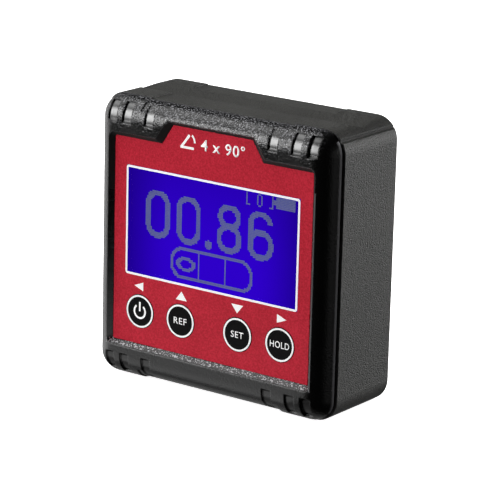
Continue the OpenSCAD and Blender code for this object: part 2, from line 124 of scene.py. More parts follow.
class Shade:
    def __init__(self, tree, socket):
        self.tree = tree
        self.socket = socket

    def node(self, kind, settings=None, sockets=None, output=0):
        made = self.tree.nodes.new(kind)
        for name, value in (settings or {}).items():
            setattr(made, name, value)
        for name, value in (sockets or {}).items():
            if isinstance(value, Shade):
                self.tree.links.new(value.socket, made.inputs[name])
            else:
                made.inputs[name].default_value = value
        return Shade(self.tree, made.outputs[output])

    def math(self, operation, first, second=0.0):
        return self.node("ShaderNodeMath", {"operation": operation}, {0: first, 1: second})

    def __add__(self, other):
        return self.math("ADD", self, other)

    def __radd__(self, other):
        return self.math("ADD", other, self)

    def __sub__(self, other):
        return self.math("SUBTRACT", self, other)

    def __rsub__(self, other):
        return self.math("SUBTRACT", other, self)

    def __mul__(self, other):
        return self.math("MULTIPLY", self, other)

    def __rmul__(self, other):
        return self.math("MULTIPLY", other, self)

    def __gt__(self, other):
        return self.math("GREATER_THAN", self, other)

    def __lt__(self, other):
        return self.math("LESS_THAN", self, other)

    def __abs__(self):
        return self.math("ABSOLUTE", self)

    def axis(self, index):
        return self.node("ShaderNodeSeparateXYZ", sockets={0: self}, output=index)

    def length(self, other):
        return self.math("SQRT", self * self + other * other)

    def soft_step(self, low, high):
        return self.node("ShaderNodeMapRange", {"interpolation_type": "SMOOTHSTEP"},
                         {"Value": self, "From Min": low, "From Max": high})

    def spread(self):
        return self.soft_step(*NOISE_RANGE)

    def grain(self, scale, detail=2.0, stretch=(1, 1, 1)):
        place = self.node("ShaderNodeVectorMath", {"operation": "MULTIPLY"}, {0: self, 1: stretch})
        return self.node("ShaderNodeTexNoise", sockets={"Vector": place, "Scale": scale, "Detail": detail})

    def pebbles(self, scale):
        reach = self.node("ShaderNodeTexVoronoi", sockets={"Vector": self, "Scale": scale})
        return 1 - reach * reach

    def at_least(self, low):
        return self.math("MAXIMUM", self, low)

    def mix_colour(self, first, second):
        return self.node("ShaderNodeMix", {"data_type": "RGBA"}, {0: self, 6: first, 7: second}, output=2)


def start_finish(name, **sockets):
    material = bpy.data.materials.new(name)
    material.use_nodes = True
    tree = material.node_tree
    for socket, value in sockets.items():
        tree.nodes["Principled BSDF"].inputs[socket.replace("_", " ")].default_value = value
    return material, Shade(tree, tree.nodes.new("ShaderNodeTexCoord").outputs["Object"])


def feed(material, **shades):
    shader = material.node_tree.nodes["Principled BSDF"]
    for socket, shade in shades.items():
        material.node_tree.links.new(shade.socket, shader.inputs[socket.replace("_", " ")])


def relief(height, depth, strength=1.0, edge=0.0):
    sockets = {"Strength": strength, "Distance": depth, "Height": height}
    if edge:
        sockets["Normal"] = height.node("ShaderNodeBevel", {"samples": BEVEL_SAMPLES}, {"Radius": edge})
    return height.node("ShaderNodeBump", sockets=sockets)


def linear(red, green, blue):
    def one(value):
        share = value / 255
        return share / 12.92 if share <= 0.04045 else ((share + 0.055) / 1.055) ** 2.4
    return one(red), one(green), one(blue), 1.0


def dress(material, *names):
    for name in names:
        nodes[name].data.materials.clear()
        nodes[name].data.materials.append(material)
    print(material.name, "on", ", ".join(names))


print("finishes are written with", len([name for name in vars(Shade) if not name.startswith("__")]), "methods")

# %% [markdown]
# The front bezel is moulded in black plastic with a coarse spark-eroded skin, so it breaks a highlight into
# grains. The floors of the grip notches are smooth, because that part of the mould is a polished insert.
# They lie deeper than the round skin, so their distance from the axis of the round edge finds them without
# a drawing.

# %% Find the notches of the bezel
EDGE_RADIUS = 4.9 * MM
PAD_RISE = 0.33 * MM
PAD_WIDTH = 12 * MM
TAB_HALF = 13.4 * MM
NOTCH_DEPTHS = 0.12 * MM, 0.28 * MM
NOTCH_REACH = 0.7 * MM

bezel_plastic, place = start_finish("bezel_plastic", Specular_IOR_Level=0.35, Coat_Roughness=0.34)
sideways, inward, height = (place.axis(index) for index in range(3))
across = abs(sideways)
upright = abs(height - middle_z)
round_start = bezel_high.z - middle_z - EDGE_RADIUS
on_saddle = across < body_high.x - PAD_WIDTH
beyond_x = (across - (bezel_high.x - EDGE_RADIUS)).at_least(0)
beyond_y = inward - (front_y + EDGE_RADIUS)
beyond_z = (upright - round_start + PAD_RISE * on_saddle).at_least(0)
below_skin = EDGE_RADIUS - beyond_x.length(beyond_y).length(beyond_z)
in_notch = below_skin.soft_step(*NOTCH_DEPTHS) * (upright > round_start - NOTCH_REACH) * (across > TAB_HALF)
print("the round of the top edge starts", round((middle_z + round_start) / MM, 1), "mm up")

# %% [markdown]
# The recess round the label and the rim at the joint catch the light in their own ways. The lower wall of
# the recess faces up and glitters, its upper walls face down and look dull, and its right lip and the strip
# beside the joint get painted highlights, thin lighter lines in their colour. Each is a box or a band, so
# comparing a point's place with the label's edges finds it, and no drawing is needed.

# %% Find the recess, the joint and the top edge of the bezel
RECESS_FLARE = 1.05 * MM
LIT_WALL = 0.82 * RECESS_FLARE
LIT_WALL_START = 0.04 * MM
LIT_WALL_END = 0.1 * MM
LIP_HALF = 0.16 * MM
LIP_DEPTH = 0.3 * MM
LIP_END = 8 * MM
DULL_WALL_DEPTHS = 0.05 * MM, 0.2 * MM
DULL_WALL_RISE = 10 * MM
TOP_BLEND = 2 * MM
TOP_ENDS = 0.4 * EDGE_RADIUS, 1.2 * EDGE_RADIUS
JOINT_BAND = -1.6 * MM, -0.2 * MM
SIDE_BAND = -1.5 * MM, -0.9 * MM
SIDE_DEPTH = 1 * MM

recess_side = label_high.x + RECESS_FLARE
in_recess = ((across < recess_side) * (inward > front_y + LIT_WALL_START)
             * (height > label_low.z - LIT_WALL) * (height < label_low.z + LIT_WALL_END))
on_lip = ((abs(sideways - recess_side) < LIP_HALF) * (inward < front_y + LIP_DEPTH)
          * (height > label_low.z - RECESS_FLARE) * (height < label_high.z - LIP_END))
on_top = ((height - middle_z).soft_step(round_start - TOP_BLEND, round_start + TOP_BLEND)
          * sideways.soft_step(*[bezel_high.x - end for end in TOP_ENDS]))
near_joint = beyond_y.soft_step(*JOINT_BAND) * on_top
side_joint = beyond_y.soft_step(*SIDE_BAND) * (across > bezel_high.x - SIDE_DEPTH) * (1 - on_top)
upper_wall = (below_skin.soft_step(*DULL_WALL_DEPTHS) * (height > middle_z + DULL_WALL_RISE)
              * (height < label_high.z + RECESS_FLARE) * (across < recess_side) * (1 - in_notch))
print("the recess reaches", round(recess_side / MM, 2), "mm to each side")

# %% [markdown]
# A bump alone makes glints so small that a denoiser smears them, so the glints are also painted into the
# colour as lighter specks: a noise cut off high leaves scattered painted glints on the top edge and on the
# lit wall, and none on the dull walls. A clear coat on that wall and on the notch floors gives them their
# gloss, and a rougher dull wall loses its reflections.

# %% Finish the bezel
GLINT_CUT = 0.53, 0.65
TOP_GLINT = 0.42
JOINT_CALM = 0.7
JOINT_HIGHLIGHT = 0.15
LIP_HIGHLIGHT = 0.3
SIDE_HIGHLIGHT = 0.22
SKIN_LEVEL = 0.95

pebble = place.pebbles(2700)
coarse = place.grain(2600, 2.0)
cloud = place.grain(140, 3.0)
skin = (pebble + 0.4 * coarse - SKIN_LEVEL) * (1 - in_notch)
# Painted glints: lighter specks laid into the colour on the top edge and on the lit wall of the recess.
painted_glint = place.grain(3100, 1.0).soft_step(*GLINT_CUT) * (1 - in_notch) * (1 - upper_wall)
painted_glint = painted_glint * (TOP_GLINT * on_top).at_least(in_recess)
# Painted highlights: a flat light tone on the top edge by the joint, on the right lip and on the strip beside
# the joint.
painted_glint = (painted_glint * (1 - JOINT_CALM * near_joint)).at_least(JOINT_HIGHLIGHT * near_joint)
tone = painted_glint.at_least(LIP_HIGHLIGHT * on_lip).at_least(SIDE_HIGHLIGHT * side_joint)
feed(bezel_plastic,
     Base_Color=tone.mix_colour(linear(2, 2, 2), linear(168, 168, 172)),
     Roughness=0.22 + 0.1 * cloud + 0.6 * upper_wall + 0.3 * side_joint,
     Coat_Weight=in_recess * (0.3 + 0.7 * painted_glint) + in_notch * on_top,
     Normal=relief(skin, 0.04 * MM, 1.0, edge=0.4 * MM))
dress(bezel_plastic, "front_bezel")

# %% [markdown]
# The rear housing is dark grey plastic with a much finer skin and faint upright streaks, left by the
# mould's draw. A stretched grain makes the streaks, and a second, finer one makes the skin. Hands and bags
# rub the top most, so it has faint scuffs. Its upper corners get painted shade, a darker colour where their
# round would mirror a dark part of the room.

# %% Finish the rear housing and the door
ROOF_BAND = 1.5 * MM, 0.6 * MM
CORNER_RISE = 3.2 * MM, 2.4 * MM
CORNER_WIDTH = 3.6 * MM, 2.2 * MM
CORNER_PAINTED_SHADE = 0.5

housing_plastic, place = start_finish("housing_plastic", Specular_IOR_Level=0.45)
across, height = abs(place.axis(0)), place.axis(2)
skin = place.pebbles(4200)
streak = place.grain(2300, 2.0, (1, 1, 0.22))
cloud = place.grain(60, 3.0)
on_roof = height.soft_step(*[body_high.z - depth for depth in ROOF_BAND])
on_corner = (height.soft_step(*[body_high.z - depth for depth in CORNER_RISE])
             * across.soft_step(*[body_high.x - depth for depth in CORNER_WIDTH]))
scuff = (place.grain(2300, 3.0, (0.5, 0.7, 1)) - 0.5) * on_roof.at_least(on_corner)
tone = (0.2 * cloud + 0.6 * streak + 0.2 * skin + 0.25 * scuff).spread()
feed(housing_plastic,
     # The upper corners get painted shade: their colour is made darker.
     Base_Color=(tone * (1 - CORNER_PAINTED_SHADE * on_corner)).mix_colour(linear(20, 20, 19), linear(58, 58, 56)),
     Roughness=0.36 + 0.16 * streak + 0.06 * cloud + 0.3 * scuff,
     Normal=relief(skin * 0.6 + streak * 0.4, 0.11 * MM, 1.0, edge=0.2 * MM))
dress(housing_plastic, "rear_housing", "battery_door")

# %% [markdown]
# The label is a crimson film with a fine matt grain. Its print is opaque, so the colour hardly varies. Only
# a slow cloud and the grain keep it from looking like paint on a screen.

# %% Finish the label
label_film, place = start_finish("label_film", Specular_IOR_Level=0.1)
grain = place.grain(3000, 2.0)
cloud = place.grain(90, 2.0)
crimson = (0.7 * grain + 0.3 * cloud).spread()
feed(label_film,
     Base_Color=crimson.mix_colour(linear(182, 24, 44), linear(214, 40, 62)),
     Roughness=0.5 + 0.12 * grain,
     Normal=relief(grain, 0.02 * MM, 0.6, edge=0.1 * MM))
dress(label_film, "front_label")

# %% [markdown]
# The display is a blue negative liquid crystal glass, lit from behind, with a clear window in front of it.
# The light is emission from that backlight, made darker towards both ends and the top: painted shade for
# the inner shadow at the window's edges. The window is nearly clear, and only its gloss shows.

# %% Finish the display and the clear window
EDGE_SHADE_ENDS = -4 * MM, 12 * MM
EDGE_SHADE_TOP = -6 * MM, 16 * MM

display_blue, place = start_finish("display_blue", Base_Color=(0.0, 0.0, 0.004, 1), Roughness=0.25,
                                   Specular_IOR_Level=0.0, Emission_Strength=1.0)
from_end = (window_high.x - window_middle.x) - abs(place.axis(0) - window_middle.x)
from_top = window_high.z - place.axis(2)
# Painted shade: the emission is made darker towards both ends and the top of the window.
lamp = from_end.soft_step(*EDGE_SHADE_ENDS) * (0.55 + 0.45 * from_top.soft_step(*EDGE_SHADE_TOP))
feed(display_blue, Emission_Color=lamp.mix_colour(linear(28, 0, 138), linear(47, 0, 205)))
dress(display_blue, "display_glass")

clear_window, place = start_finish("clear_window", Base_Color=(0.004, 0.004, 0.006, 1), Specular_IOR_Level=0.5)
smear = place.grain(60, 3.0)
feed(clear_window, Roughness=0.05 + 0.08 * smear, Alpha=0.02 + 0.02 * smear)
dress(clear_window, "display_window")

# %% [markdown]
# Inside are the pieces that make the gauge work. They show when the battery door is open or the case is
# taken apart, so each gets a finish of its own kind: moulded, printed, plated or wrapped.

# %% Finish the inner pieces
def moulded(name, dark, light, scale, roughness, depth=0.02 * MM, **constants):
    material, place = start_finish(name, **constants)
    skin = place.grain(scale, 2.0)
    feed(material, Base_Color=skin.spread().mix_colour(linear(*dark), linear(*light)),
         Roughness=roughness + 0.12 * skin, Normal=relief(skin, depth, 0.6, edge=0.1 * MM))
    return material


dress(moulded("key_black", (5, 5, 6), (11, 11, 12), 6000, 0.4, Specular_IOR_Level=0.04),
      "power_key", "reference_key", "set_key", "hold_key")
dress(moulded("light_guide", (225, 229, 236), (240, 243, 248), 900, 0.2), "backlight")
dress(moulded("holder_plastic", (205, 205, 199), (222, 222, 217), 3000, 0.5), "display_holder")
dress(moulded("strip_rubber", (50, 51, 54), (78, 79, 83), 9000, 0.7), "contact_strip")
dress(moulded("chip_black", (27, 27, 29), (40, 40, 42), 8000, 0.55), "controller_chip", "tilt_sensor")
dress(moulded("switch_metal", (150, 152, 155), (176, 178, 181), 2500, 0.3, Metallic=0.9),
      "power_switch", "reference_switch", "set_switch", "hold_switch")
dress(moulded("contact_plating", (196, 197, 199), (219, 220, 222), 1800, 0.2, Metallic=1.0),
      "bridge_contact", "upper_contact", "lower_contact")
dress(moulded("magnet_plating", (176, 178, 181), (206, 207, 209), 1400, 0.16, Metallic=1.0),
      "left_magnet", "right_magnet")
screw_steel = moulded("screw_steel", (150, 151, 154), (184, 185, 188), 3500, 0.26, Metallic=1.0)
dress(screw_steel, "housing_screws")

# %% [markdown]
# A circuit board shows its copper tracks as slightly raised, lighter lines under the green mask. A brick
# pattern gives the straight runs with their right-angled jumps.

# %% Finish the circuit board
board_green, place = start_finish("board_green", Specular_IOR_Level=0.5)
upright = place.node("ShaderNodeMapping", sockets={"Vector": place, "Rotation": (pi / 2, 0, 0)})
track = upright.node("ShaderNodeTexBrick", {"offset": 0.35},
                     {"Vector": upright, "Scale": 100, "Color1": (0, 0, 0, 1), "Color2": (0, 0, 0, 1),
                      "Mortar": (1, 1, 1, 1), "Mortar Size": 0.05}, output=1)
feed(board_green, Base_Color=track.mix_colour(linear(18, 84, 46), linear(36, 122, 70)),
     Roughness=0.28 + 0.15 * place.grain(3000), Normal=relief(track, 0.03 * MM, 0.8))
dress(board_green, "circuit_board")

# %% [markdown]
# A cell has a printed shrink sleeve and bare steel ends. The sleeve's bands run round the cell, so the
# distance along x from the cell's middle gives them.

# %% Finish the cells
CELL_BAND = 0.55
CELL_END = 0.955

cell_low, cell_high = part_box("upper_cell")
half_cell = (cell_high.x - cell_low.x) / 2

cell_wrap, place = start_finish("cell_wrap", Specular_IOR_Level=0.5)
along = abs(place.axis(0)) * (1 / half_cell)
bare = along > CELL_END
sleeve = (along > CELL_BAND).mix_colour(linear(36, 70, 92), linear(176, 182, 188))
scuff = place.grain(1500, 3.0)
feed(cell_wrap, Base_Color=bare.mix_colour(sleeve, linear(205, 206, 208)), Metallic=1.0 * bare,
     Roughness=0.24 + 0.14 * scuff, Normal=relief(scuff, 0.01 * MM, 0.5, edge=0.3 * MM))
dress(cell_wrap, "upper_cell", "lower_cell")

# %% [markdown]
# A print is a thin layer of ink that stands a hair proud of its surface. Each one is drawn flat, in x and
# y, laid on its surface, and then pulled out by that hair, which makes it a closed shell with real edges.
# Small helpers do the laying and the pulling, leave the rim of a shape, fit a shape to its size, name the
# piece, give it its ink and let it ride on a body.

# %% Make prints out of flat drawings
INK = 0.03 * MM
INK_SHADE = 0.94


def flat_place(x, y, z):
    return Matrix.Translation((x, y, z)) @ Matrix.Rotation(pi / 2, 4, "X")


def leave_rim(drawing, width):
    middle = list(drawing.faces)
    bmesh.ops.inset_region(drawing, faces=middle, thickness=width, use_boundary=True, use_even_offset=True)
    bmesh.ops.delete(drawing, geom=middle, context="FACES")


def rounded_rim(width, height, corner, segments, rim_width):
    drawing = bmesh.new()
    bmesh.ops.create_grid(drawing, x_segments=1, y_segments=1, size=0.5,
                          matrix=Matrix.Diagonal((width, height, 1, 1)))
    bmesh.ops.bevel(drawing, geom=list(drawing.verts), offset=corner, offset_type="OFFSET", affect="VERTICES",
                    segments=segments, profile=0.5, material=-1)
    leave_rim(drawing, rim_width)
    return drawing


def fit(drawing, width, height):
    low = Vector([min(vertex.co[axis] for vertex in drawing.verts) for axis in range(3)])
    high = Vector([max(vertex.co[axis] for vertex in drawing.verts) for axis in range(3)])
    bmesh.ops.translate(drawing, verts=drawing.verts, vec=-(low + high) / 2)
    bmesh.ops.scale(drawing, verts=drawing.verts, vec=(width / (high.x - low.x), height / (high.y - low.y), 1))


def pulled_vertices(drawing, faces):
    pulled = bmesh.ops.extrude_face_region(drawing, geom=faces, use_keep_orig=True)
    return [item for item in pulled["geom"] if isinstance(item, bmesh.types.BMVert)]


def pull_out(drawing, thickness=INK):
    front = pulled_vertices(drawing, list(drawing.faces))
    bmesh.ops.translate(drawing, verts=front, vec=(0, -thickness, 0))
    bmesh.ops.recalc_face_normals(drawing, faces=drawing.faces)


def link_mesh(drawing, name):
    mesh = bpy.data.meshes.new(name)
    drawing.to_mesh(mesh)
    drawing.free()
    made = bpy.data.objects.new(name, mesh)
    bpy.context.scene.collection.objects.link(made)
    return made


def keep_piece(drawing, name, material, body):
    piece = link_mesh(drawing, name)
    piece.data.materials.append(material)
    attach(piece, body)
    print(name, "has", len(piece.data.polygons), "faces")
    return piece


def ink_finish(name, colour, roughness, glow=0.0):
    material, place = start_finish(name, Specular_IOR_Level=0.3, Emission_Strength=glow,
                                   Emission_Color=linear(*colour))
    grain = place.grain(5200, 2.0)
    shadow = tuple(value * INK_SHADE for value in colour)
    feed(material, Base_Color=grain.spread().mix_colour(linear(*shadow), linear(*colour)),
         Roughness=roughness + 0.1 * grain, Normal=relief(grain, 0.01 * MM, 0.5))
    return material


# The white ink glows a little: painted light, which makes the prints brighter than the lamps alone would.
white_ink_with_painted_glow = ink_finish("white_ink_with_painted_glow", (250, 250, 250), 0.5, glow=0.28)
print("prints stand", INK / MM, "mm proud")

# %% [markdown]
# Dust stays out of such a gauge because a flat rubber gasket lies in the gap between bezel and housing. It
# is drawn as one rounded rectangle: a vertex bevel rounds its corners, an inset leaves the rim, and pulling
# the rim out gives it its thickness. It lies behind the outer surface, so the gap still reads as a dark
# line.

# %% Lay the gasket in the gap behind the bezel
GASKET_INSET = 1.0 * MM
GASKET_WIDTH = 1.0 * MM
GASKET_CORNER = 3.9 * MM
GASKET_STEPS = 10
SEAM = 4.2 * MM
SEAM_GAP = 0.28 * MM

gasket_rubber = moulded("gasket_rubber", (13, 13, 14), (24, 24, 25), 4000, 0.6)
gasket = rounded_rim(2 * (bezel_high.x - GASKET_INSET), body_high.z - body_low.z - 2 * GASKET_INSET,
                     GASKET_CORNER, GASKET_STEPS, GASKET_WIDTH)
bmesh.ops.transform(gasket, matrix=flat_place(0, front_y + SEAM + SEAM_GAP, middle_z), verts=gasket.verts)
pull_out(gasket, SEAM_GAP)
keep_piece(gasket, "seam_gasket", gasket_rubber, "case")

# %% [markdown]
# Four screws hold the case together from behind. A screw's drive is pressed into its head: a cross that
# narrows with depth. It could be cut into each head by hand, but a boolean does all four at once. Its
# cutter is a cross of twelve corners, pulled out and made smaller at its deep end.

# %% Shape the cutter for the screws' drives
HEAD_RADIUS = 2.0 * MM
DRIVE_ARM = 1.2 * MM
DRIVE_HALF = 0.3 * MM
DRIVE_DEPTH = 1.0 * MM
DRIVE_TAPER = 0.5
DRIVE_LEAD = 0.1 * MM

screws_low, screws_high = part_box("housing_screws")
quarter_cross = [(DRIVE_HALF, DRIVE_HALF), (DRIVE_HALF, DRIVE_ARM), (-DRIVE_HALF, DRIVE_ARM)]
cross_outline = [Matrix.Rotation(quarter * pi / 2, 2) @ Vector(point)
                 for quarter in range(4) for point in quarter_cross]


def add_cross(drawing, x, y, z):
    corners = [drawing.verts.new((x + point.x, y + DRIVE_LEAD, z + point.y)) for point in cross_outline]
    deep = pulled_vertices(drawing, [drawing.faces.new(corners)])
    bmesh.ops.translate(drawing, verts=deep, vec=(0, -DRIVE_DEPTH - DRIVE_LEAD, 0))
    bmesh.ops.scale(drawing, verts=deep, vec=(DRIVE_TAPER, 1, DRIVE_TAPER),
                    space=Matrix.Translation((-x, -y, -z)))


crosses = bmesh.new()
for x in (screws_low.x + HEAD_RADIUS, screws_high.x - HEAD_RADIUS):
    for z in (screws_low.z + HEAD_RADIUS, screws_high.z - HEAD_RADIUS):
        add_cross(crosses, x, screws_high.y, z)
bmesh.ops.recalc_face_normals(crosses, faces=crosses.faces)
print("the cutter has", len(crosses.faces), "faces")

# %% [markdown]
# The solids have plain heads and stay as they are. A copy of them is merged and cleaned of flat edges, so
# that a bevel can round the rims, and then it loses the crosses. The copy stands for the solids from here
# on.

# %% Cut the drives into a copy of the screws
HEAD_ROUND = 0.35 * MM
HEAD_ROUND_STEPS = 4
MERGE_REACH = 0.001 * MM
FLAT_ANGLE = radians(1)
RIM_ANGLE = 1
RIM_REACH = 0.01 * MM


def frozen_copy(holder):
    bpy.context.view_layer.update()
    mesh = bpy.data.meshes.new_from_object(holder.evaluated_get(bpy.context.evaluated_depsgraph_get()))
    bpy.data.objects.remove(holder)
    drawing = bmesh.new()
    drawing.from_mesh(mesh)
    bpy.data.meshes.remove(mesh)
    return drawing


def on_head_rim(edge):
    outermost = all(vertex.co.y > screws_high.y - RIM_REACH for vertex in edge.verts)
    return outermost and edge.calc_face_angle(0) > RIM_ANGLE


heads = bmesh.new()
heads.from_mesh(nodes["housing_screws"].data)
bmesh.ops.remove_doubles(heads, verts=heads.verts, dist=MERGE_REACH)
bmesh.ops.dissolve_limit(heads, angle_limit=FLAT_ANGLE, verts=heads.verts, edges=heads.edges)
rims = [edge for edge in heads.edges if on_head_rim(edge)]
bmesh.ops.bevel(heads, geom=rims, offset=HEAD_ROUND, offset_type="OFFSET", affect="EDGES",
                segments=HEAD_ROUND_STEPS, profile=0.5, material=-1)
blank = link_mesh(heads, "screw_blank")
cutter = link_mesh(crosses, "screw_cutter")
cut = blank.modifiers.new("drive", "BOOLEAN")
cut.operation = "DIFFERENCE"
cut.solver = "EXACT"
cut.object = cutter
driven = frozen_copy(blank)
bpy.data.objects.remove(cutter)
cross_screws = keep_piece(driven, "cross_screws", screw_steel, "case")
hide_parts("housing_screws")

# %% [markdown]
# The display is a grid of 128 by 64 dots, and every digit is a set of dots that are on. So the grid is made
# whole, the dots that are off are deleted by a rule, and the rest are inset a little, which leaves the dark
# gap between dots. The rule measures the distance from a dot's middle to rounded boxes, whose rims are the
# strokes.

# %% Write the rule for the display's dots
DOT = 0.336
STROKE = 1.25
DIGIT_LOW, DIGIT_HIGH = -2.95, 7.2
ZERO_LEFTS = -17.38, -9.45
ZERO_WIDTH, ZERO_ROUND = 6.2, 2.9
POINT_X, POINT_Z, POINT_RADIUS = -1.2, -2.12, 0.95


def rounded_box(x, z, left, right, low, high, radius):
    across = abs(x - (left + right) / 2) - (right - left) / 2 + radius
    upright = abs(z - (low + high) / 2) - (high - low) / 2 + radius
    return hypot(max(across, 0), max(upright, 0)) + min(max(across, upright), 0) - radius


def rim(x, z, left, right, low, high, radius, stroke=STROKE):
    return -stroke < rounded_box(x, z, left, right, low, high, radius) <= 0


def inside(x, z, left, right, low, high):
    return left < x < right and low < z < high


def zero_digit(x, z, left):
    return rim(x, z, left, left + ZERO_WIDTH, DIGIT_LOW, DIGIT_HIGH, ZERO_ROUND)


print("a dot is", DOT, "mm wide")

# %% [markdown]
# A box is given by its left, right, lower and upper side in millimetres from the window's middle, and a
# rounded one also by its corner's radius. The eight is two such rims, and the six is a bowl and a taller
# rim that is open on the right.

# %% Write the rule for the eight and the six
EIGHT_UPPER = 1.15, 6.85, 2.0, DIGIT_HIGH, 2.5
EIGHT_LOWER = 0.9, 7.1, DIGIT_LOW, 3.1, 2.7
SIX_BOWL = 8.7, 15.0, DIGIT_LOW, 3.35, 2.8
SIX_HOOK = 8.7, 14.8, DIGIT_LOW, DIGIT_HIGH, 2.9
SIX_STEM_X, SIX_HOOK_Z = 11.4, 4.6


def eight_digit(x, z):
    return rim(x, z, *EIGHT_UPPER) or rim(x, z, *EIGHT_LOWER)


def six_digit(x, z):
    hook = rim(x, z, *SIX_HOOK) and (x < SIX_STEM_X or z > SIX_HOOK_Z)
    return rim(x, z, *SIX_BOWL) or hook


def digits(x, z):
    zeros = any(zero_digit(x, z, left) for left in ZERO_LEFTS)
    return zeros or eight_digit(x, z) or six_digit(x, z)


print("digits are", round(DIGIT_HIGH - DIGIT_LOW, 2), "mm high")

# %% [markdown]
# Under the digits lies the picture of a level: a long capsule with two lines and an oval bubble. Small
# marks stand in the upper right corner: brackets round a nought, and a battery.

# %% Write the rule for the level and the small marks
VIAL, VIAL_STROKE = (-10.8, 10.16, -10.55, -3.7, 3.1), 0.75
VIAL_LINES, VIAL_LINE_LOW, VIAL_LINE_HIGH = (-3.59, 3.12), -10.2, -4.0
BUBBLE_X, BUBBLE_Z, BUBBLE_WIDTH, BUBBLE_HEIGHT = -6.81, -7.2, 2.56, 1.47
BUBBLE_SCALE, BUBBLE_STROKE = 1.6, 0.7
BRACKETS, MARK_LOW, MARK_HIGH = (8.1, 14.68), 8.2, 10.6
FEET, FOOT_LOW = ((8.0, 9.0), (13.7, 14.8)), 8.1
SMALL_ZERO = 10.6, 12.2, MARK_LOW, MARK_HIGH, 0.6
BATTERY = (15.5, 20.1, 8.3, 10.85), (14.86, 15.5, 9.1, 10.05)


def on_upright_line(x, places):
    return min(abs(x - place) for place in places) < DOT / 2


def level_vial(x, z):
    line = VIAL_LINE_LOW < z < VIAL_LINE_HIGH and on_upright_line(x, VIAL_LINES)
    reach = hypot((x - BUBBLE_X) / BUBBLE_WIDTH, (z - BUBBLE_Z) / BUBBLE_HEIGHT)
    bubble = -BUBBLE_STROKE < (reach - 1) * BUBBLE_SCALE <= 0
    return rim(x, z, *VIAL, VIAL_STROKE) or line or bubble


def status_marks(x, z):
    brackets = MARK_LOW < z < MARK_HIGH and on_upright_line(x, BRACKETS)
    feet = any(inside(x, z, *foot, FOOT_LOW, FOOT_LOW + DOT) for foot in FEET)
    battery = any(inside(x, z, *box) for box in BATTERY)
    return brackets or feet or rim(x, z, *SMALL_ZERO, DOT) or battery


def dot_is_on(x, z):
    point = hypot(x - POINT_X, z - POINT_Z) < POINT_RADIUS
    return point or digits(x, z) or level_vial(x, z) or status_marks(x, z)


print("the level is", round(VIAL[1] - VIAL[0], 2), "mm long")

# %% [markdown]
# With the rule written, the grid of dots is made whole in one call, thinned out by the rule, laid on the
# glass, inset and pulled out. Making only the lit dots one by one would be slower and would need each one's
# corners.

# %% Make the display's dots
DOTS_ACROSS, DOTS_UP = 128, 64
DOT_GAP = 0.02 * MM
DOT_RISE = 0.02 * MM

dots = bmesh.new()
bmesh.ops.create_grid(dots, x_segments=DOTS_ACROSS, y_segments=DOTS_UP, size=0.5,
                      matrix=Matrix.Diagonal((DOTS_ACROSS * DOT * MM, DOTS_UP * DOT * MM, 1, 1)))
middles = [(face, face.calc_center_median() / MM) for face in dots.faces]
off = [face for face, middle in middles if not dot_is_on(middle.x, middle.y)]
bmesh.ops.delete(dots, geom=off, context="FACES")
bmesh.ops.transform(dots, matrix=flat_place(window_middle.x, glass_low.y, window_middle.z), verts=dots.verts)
gaps = bmesh.ops.inset_individual(dots, faces=list(dots.faces), thickness=DOT_GAP, use_even_offset=True)
bmesh.ops.delete(dots, geom=gaps["faces"], context="FACES")
pull_out(dots, DOT_RISE)
dot_grey = ink_finish("dot_grey", (90, 98, 138), 0.4, glow=0.35)
keep_piece(dots, "display_dots", dot_grey, "case")

# %% [markdown]
# A white line frames the window. It is one rectangle whose corners are rounded by a vertex bevel, and an
# inset leaves its rim, as for the gasket.

# %% Print the white line round the window
LINE = 0.45 * MM
LINE_CORNER = 0.6 * MM
LINE_STEPS = 6

line = rounded_rim(window_high.x - window_low.x, window_high.z - window_low.z, LINE_CORNER, LINE_STEPS, LINE)
bmesh.ops.transform(line, matrix=flat_place(window_middle.x, window_low.y, window_middle.z), verts=line.verts)
pull_out(line)
keep_piece(line, "window_line", white_ink_with_painted_glow, "case")

# %% [markdown]
# Each key is black with a white ring and a white sign, and they move with the key. A ring is a disc with
# its middle inset and taken out. The key's own front face gives the disc's size.

# %% Print the rings on the keys
KEY_RING = 0.37 * MM
RING_MARGIN = 0.09 * MM
RING_STEPS = 72
FACE_REACH = 0.01 * MM
key_bodies = ["power_key", "reference_key", "set_key", "hold_key"]


def key_face(name):
    low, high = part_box(name)
    return Vector(((low.x + high.x) / 2, low.y, (low.z + high.z) / 2))


def face_radius(name):
    face_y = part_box(name)[0].y
    front = [vertex.co.x for vertex in nodes[name].data.vertices if vertex.co.y < face_y + FACE_REACH]
    return (max(front) - min(front)) / 2


for name in key_bodies:
    ring = bmesh.new()
    bmesh.ops.create_circle(ring, cap_ends=True, segments=RING_STEPS, radius=face_radius(name) - RING_MARGIN)
    leave_rim(ring, KEY_RING)
    bmesh.ops.transform(ring, matrix=flat_place(*key_face(name)), verts=ring.verts)
    pull_out(ring)
    keep_piece(ring, name + "_ring", white_ink_with_painted_glow, name)

# %% [markdown]
# Three keys carry a word. Letters could be drawn by hand, but a text object has good ones ready. It becomes
# a mesh before it is fitted and placed, so that its object stays at the origin like every other piece.

# %% Print the words on the keys
WORD_HEIGHT = 1.36 * MM
LETTER_SPACE = 1.1
LETTER_STEPS = 4
LETTER_MERGE = 0.0005
words = [("reference_key", "REF", 3.3 * MM), ("set_key", "SET", 3.1 * MM), ("hold_key", "HOLD", 4.75 * MM)]


